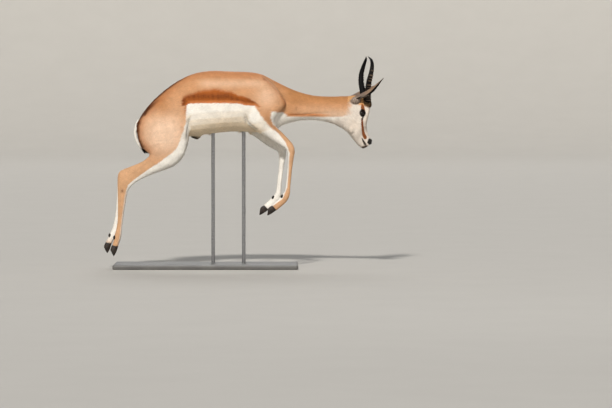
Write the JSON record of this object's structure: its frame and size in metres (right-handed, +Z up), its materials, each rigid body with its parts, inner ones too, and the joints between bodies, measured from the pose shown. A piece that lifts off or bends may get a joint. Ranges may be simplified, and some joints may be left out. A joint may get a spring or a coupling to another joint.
{
  "type": "springbok model on a display stand",
  "caption": "Life-size springbok ram in a stiff-legged pronking leap, head turned slightly left, held over a flat base by upright rods for display.",
  "frame": {"origin": "middle of the stand base's underside, on the floor", "axes": "+X the way the animal leaps and faces, +Y its left side, +Z up"},
  "size_m": [1.3722, 0.38, 1.037],
  "materials": {
    "coat": "short smooth coat: tan above, white below, with a dark brown flank stripe",
    "horn": "dark ringed horn, smooth at the tip",
    "hoof": "dull black hoof",
    "eye": "wet dark brown",
    "stand_board": "satin dark grey paint",
    "stand_rod": "brushed"
  },
  "bodies": {
    "root": {"ear_left": "coat", "ear_right": "coat", "eye_left": "eye", "eye_right": "eye", "fore_cannon_left": "coat", "fore_cannon_right": "coat", "fore_left_claw_left": "hoof", "fore_left_claw_right": "hoof", "fore_left_dewclaw_left": "hoof", "fore_left_dewclaw_right": "hoof", "fore_right_claw_left": "hoof", "fore_right_claw_right": "hoof", "fore_right_dewclaw_left": "hoof", "fore_right_dewclaw_right": "hoof", "forearm_left": "coat", "forearm_right": "coat", "head": "coat", "hind_cannon_left": "coat", "hind_cannon_right": "coat", "hind_left_claw_left": "hoof", "hind_left_claw_right": "hoof", "hind_left_dewclaw_left": "hoof", "hind_left_dewclaw_right": "hoof", "hind_right_claw_left": "hoof", "hind_right_claw_right": "hoof", "hind_right_dewclaw_left": "hoof", "hind_right_dewclaw_right": "hoof", "horn_left": "horn", "horn_right": "horn", "neck": "coat", "shank_left": "coat", "shank_right": "coat", "stand_base": "stand_board", "stand_rod_1": "stand_rod", "stand_rod_2": "stand_rod", "tail": "coat", "thigh_left": "coat", "thigh_right": "coat", "torso": "coat"}
  },
  "joints": []
}
